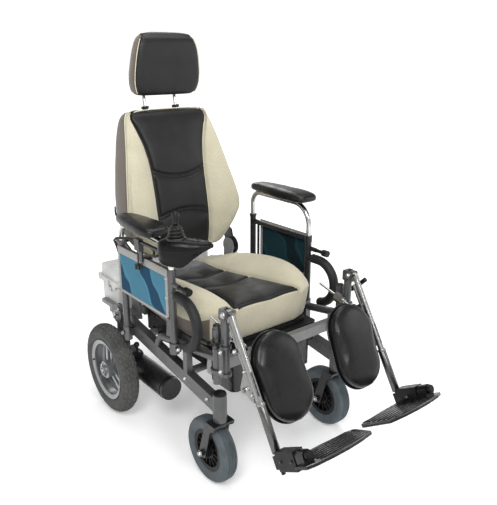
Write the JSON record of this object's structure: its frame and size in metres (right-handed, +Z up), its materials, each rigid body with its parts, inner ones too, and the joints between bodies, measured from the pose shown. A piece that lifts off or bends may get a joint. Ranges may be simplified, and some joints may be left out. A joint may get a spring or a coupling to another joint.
{
  "type": "power wheelchair",
  "caption": "Power wheelchair with a padded bucket seat, reclining back and headrest, height-adjustable arms, joystick, elevating leg rests, swivel casters and geared drive wheels.",
  "frame": {"origin": "centre of the overall box at floor level", "axes": "+X to the left of a seated user, +Y to the rear, +Z up; the chair faces -Y"},
  "size_m": [0.654, 1.2041, 1.2637],
  "materials": {
    "frame_paint": "satin gunmetal",
    "frame_grey": "satin grey",
    "black_paint": "satin black",
    "case_grey": "light grey moulding",
    "plated": "silver paint or zinc plate",
    "guard_mesh": "blue mesh with a camouflage print",
    "chrome_tube": "polished",
    "black_leather": "soft sheen",
    "black_plastic": "moulded black",
    "foam_black": "ribbed foam",
    "cable_black": "round jacket",
    "taupe_fabric": "woven taupe",
    "cream_fabric": "woven cream with black leather panels",
    "caster_rubber": "blue grey solid tyre",
    "drive_rubber": "dark grey treaded tyre"
  },
  "bodies": {
    "chassis": {"side_tubes": "frame_paint", "front_frame": "frame_paint", "cross_members": "frame_grey", "seat_board": "black_paint", "controller_box": "black_paint", "battery_box": "case_grey", "gearmotors": "black_paint", "arm_frame_l": "black_paint", "arm_frame_r": "frame_paint", "arm_sockets": "plated", "side_guard_l": "guard_mesh", "side_guard_r": "guard_mesh", "grip_foams": "foam_black", "joystick_mount": "frame_paint", "joystick_body": "black_plastic", "joystick_cable": "cable_black", "seat_cushion": "cream_fabric"},
    "battery_cover": {"battery_lid": "case_grey"},
    "back": {"back_frame": "black_paint", "back_shell": "taupe_fabric", "back_cushion": "cream_fabric", "headrest_guides": "black_plastic"},
    "headrest": {"headrest_posts": "chrome_tube", "headrest_pad": "black_leather"},
    "recline_barrel": {"recline_cylinder": "frame_paint"},
    "recline_plunger": {"recline_rod": "chrome_tube"},
    "stick_base": {"joystick_boot": "black_leather"},
    "stick": {"joystick_knob": "black_plastic"},
    "arm_rest_l": {"arm_tube_l": "chrome_tube", "arm_pad_l": "black_leather"},
    "arm_pin_l": {"arm_lock_l": "black_plastic"},
    "caster_swivel_l": {"caster_fork_l": "black_paint"},
    "caster_wheel_l": {"caster_hub_l": "black_plastic", "caster_tyre_l": "caster_rubber"},
    "drive_wheel_l": {"drive_rim_l": "plated", "drive_tyre_l": "drive_rubber"},
    "hanger_l": {"leg_hanger_l": "frame_paint"},
    "lever_l": {"release_lever_l": "black_plastic"},
    "leg_l": {"leg_tube_l": "chrome_tube", "calf_pad_l": "black_leather"},
    "foot_l": {"foot_slide_l": "black_plastic"},
    "plate_l": {"footplate_l": "black_plastic"},
    "strut_lock_l": {"strut_block_l": "plated"},
    "strut_l": {"strut_rod_l": "chrome_tube"},
    "arm_rest_r": {"arm_tube_r": "chrome_tube", "arm_pad_r": "black_leather"},
    "arm_pin_r": {"arm_lock_r": "black_plastic"},
    "caster_swivel_r": {"caster_fork_r": "black_paint"},
    "caster_wheel_r": {"caster_hub_r": "black_plastic", "caster_tyre_r": "caster_rubber"},
    "drive_wheel_r": {"drive_rim_r": "plated", "drive_tyre_r": "drive_rubber"},
    "hanger_r": {"leg_hanger_r": "frame_paint"},
    "lever_r": {"release_lever_r": "black_plastic"},
    "leg_r": {"leg_tube_r": "chrome_tube", "calf_pad_r": "black_leather"},
    "foot_r": {"foot_slide_r": "black_plastic"},
    "plate_r": {"footplate_r": "black_plastic"},
    "strut_lock_r": {"strut_block_r": "plated"},
    "strut_r": {"strut_rod_r": "chrome_tube"}
  },
  "joints": [
    {"name": "battery_lid_hinge", "type": "hinge", "parent": "chassis", "child": "battery_cover", "pos_m": [0, 0.5906, 0.402], "axis": [-1, 0, 0], "range_deg": [0, 75]},
    {"name": "recline", "type": "hinge", "parent": "chassis", "child": "back", "pos_m": [0, 0.3296, 0.52], "axis": [-1, 0, 0], "range_deg": [0, 40]},
    {"name": "headrest_height", "type": "slide", "parent": "back", "child": "headrest", "axis": [0, 0.1839, 0.9829], "range_m": [-0.02, 0.06]},
    {"name": "recline_barrel_pivot", "type": "hinge", "parent": "chassis", "child": "recline_barrel", "pos_m": [-0.226, 0.0446, 0.43], "axis": [1, 0, 0], "range_deg": [-4, 6]},
    {"name": "recline_plunger_slide", "type": "slide", "parent": "recline_barrel", "child": "recline_plunger", "axis": [0, -0.9988, -0.0497], "range_m": [-0.002, 0.06]},
    {"name": "stick_fore_aft", "type": "hinge", "parent": "chassis", "child": "stick_base", "pos_m": [-0.2814, -0.0678, 0.728], "axis": [1, 0, 0], "range_deg": [-12, 12], "stiffness_Nm_per_rad": 0.6},
    {"name": "stick_side", "type": "hinge", "parent": "stick_base", "child": "stick", "pos_m": [-0.2814, -0.0678, 0.769], "axis": [0, 1, 0], "range_deg": [-12, 12], "stiffness_Nm_per_rad": 0.4},
    {"name": "arm_height_l", "type": "slide", "parent": "chassis", "child": "arm_rest_l", "axis": [0, 0, 1], "range_m": [-0.03, 0.05]},
    {"name": "arm_pin_pull_l", "type": "slide", "parent": "chassis", "child": "arm_pin_l", "axis": [0, -1, 0], "range_m": [0, 0.012], "stiffness_N_per_m": 400, "springref_m": -0.01},
    {"name": "caster_swivel_l", "type": "hinge", "parent": "chassis", "child": "caster_swivel_l", "pos_m": [0.234, -0.2004, 0.25], "axis": [0, 0, 1], "continuous": true},
    {"name": "caster_spin_l", "type": "hinge", "parent": "caster_swivel_l", "child": "caster_wheel_l", "pos_m": [0.234, -0.1584, 0.1], "axis": [1, 0, 0], "continuous": true},
    {"name": "drive_spin_l", "type": "hinge", "parent": "chassis", "child": "drive_wheel_l", "pos_m": [0.289, 0.3646, 0.159], "axis": [1, 0, 0], "continuous": true},
    {"name": "leg_swing_l", "type": "hinge", "parent": "chassis", "child": "hanger_l", "pos_m": [0.24, -0.2004, 0.42], "axis": [0, 0, 1], "range_deg": [0, 85]},
    {"name": "release_l", "type": "hinge", "parent": "hanger_l", "child": "lever_l", "pos_m": [0.256, -0.2354, 0.506], "axis": [1, 0, 0], "range_deg": [0, 20], "stiffness_Nm_per_rad": 0.5, "springref_deg": -22.92},
    {"name": "leg_elevate_l", "type": "hinge", "parent": "hanger_l", "child": "leg_l", "pos_m": [0.236, -0.2474, 0.56], "axis": [-1, 0, 0], "range_deg": [-10, 45]},
    {"name": "foot_length_l", "type": "slide", "parent": "leg_l", "child": "foot_l", "axis": [0, -0.5113, -0.8594], "range_m": [-0.015, 0.06]},
    {"name": "footplate_flip_l", "type": "hinge", "parent": "foot_l", "child": "plate_l", "pos_m": [0.236, -0.43965, 0.23686], "axis": [0, 0.8594, -0.5113], "range_deg": [0, 90]},
    {"name": "strut_pivot_l", "type": "hinge", "parent": "hanger_l", "child": "strut_lock_l", "pos_m": [0.213, -0.2204, 0.482], "axis": [-1, 0, 0], "range_deg": [-10, 36]},
    {"name": "strut_slide_l", "type": "slide", "parent": "strut_lock_l", "child": "strut_l", "axis": [0, -0.9662, -0.2577], "range_m": [-0.016, 0.065]},
    {"name": "arm_height_r", "type": "slide", "parent": "chassis", "child": "arm_rest_r", "axis": [0, 0, 1], "range_m": [0, 0.07]},
    {"name": "arm_pin_pull_r", "type": "slide", "parent": "chassis", "child": "arm_pin_r", "axis": [0, -1, 0], "range_m": [0, 0.012], "stiffness_N_per_m": 400, "springref_m": -0.01},
    {"name": "caster_swivel_r", "type": "hinge", "parent": "chassis", "child": "caster_swivel_r", "pos_m": [-0.234, -0.2004, 0.25], "axis": [0, 0, 1], "continuous": true},
    {"name": "caster_spin_r", "type": "hinge", "parent": "caster_swivel_r", "child": "caster_wheel_r", "pos_m": [-0.234, -0.1584, 0.1], "axis": [1, 0, 0], "continuous": true},
    {"name": "drive_spin_r", "type": "hinge", "parent": "chassis", "child": "drive_wheel_r", "pos_m": [-0.289, 0.3646, 0.159], "axis": [1, 0, 0], "continuous": true},
    {"name": "leg_swing_r", "type": "hinge", "parent": "chassis", "child": "hanger_r", "pos_m": [-0.24, -0.2004, 0.42], "axis": [0, 0, -1], "range_deg": [0, 85]},
    {"name": "release_r", "type": "hinge", "parent": "hanger_r", "child": "lever_r", "pos_m": [-0.265, -0.2354, 0.47], "axis": [1, 0, 0], "range_deg": [0, 20], "stiffness_Nm_per_rad": 0.5, "springref_deg": -22.92},
    {"name": "leg_elevate_r", "type": "hinge", "parent": "hanger_r", "child": "leg_r", "pos_m": [-0.236, -0.2474, 0.56], "axis": [-1, 0, 0], "range_deg": [-10, 45]},
    {"name": "foot_length_r", "type": "slide", "parent": "leg_r", "child": "foot_r", "axis": [0, -0.5113, -0.8594], "range_m": [-0.015, 0.06]},
    {"name": "footplate_flip_r", "type": "hinge", "parent": "foot_r", "child": "plate_r", "pos_m": [-0.236, -0.43965, 0.23686], "axis": [0, -0.8594, 0.5113], "range_deg": [0, 90]},
    {"name": "strut_pivot_r", "type": "hinge", "parent": "hanger_r", "child": "strut_lock_r", "pos_m": [-0.213, -0.2204, 0.482], "axis": [-1, 0, 0], "range_deg": [-10, 36]},
    {"name": "strut_slide_r", "type": "slide", "parent": "strut_lock_r", "child": "strut_r", "axis": [0, -0.9662, -0.2577], "range_m": [-0.016, 0.065]}
  ],
  "couplings": [
    {"joint": "recline_barrel_pivot", "follows": "recline", "ratio": 0.06},
    {"joint": "recline_plunger_slide", "follows": "recline", "m_per_rad": 0.07425},
    {"joint": "strut_pivot_l", "follows": "leg_elevate_l", "ratio": 0.725},
    {"joint": "strut_slide_l", "follows": "leg_elevate_l", "m_per_rad": 0.0785},
    {"joint": "strut_pivot_r", "follows": "leg_elevate_r", "ratio": 0.725},
    {"joint": "strut_slide_r", "follows": "leg_elevate_r", "m_per_rad": 0.0785}
  ]
}
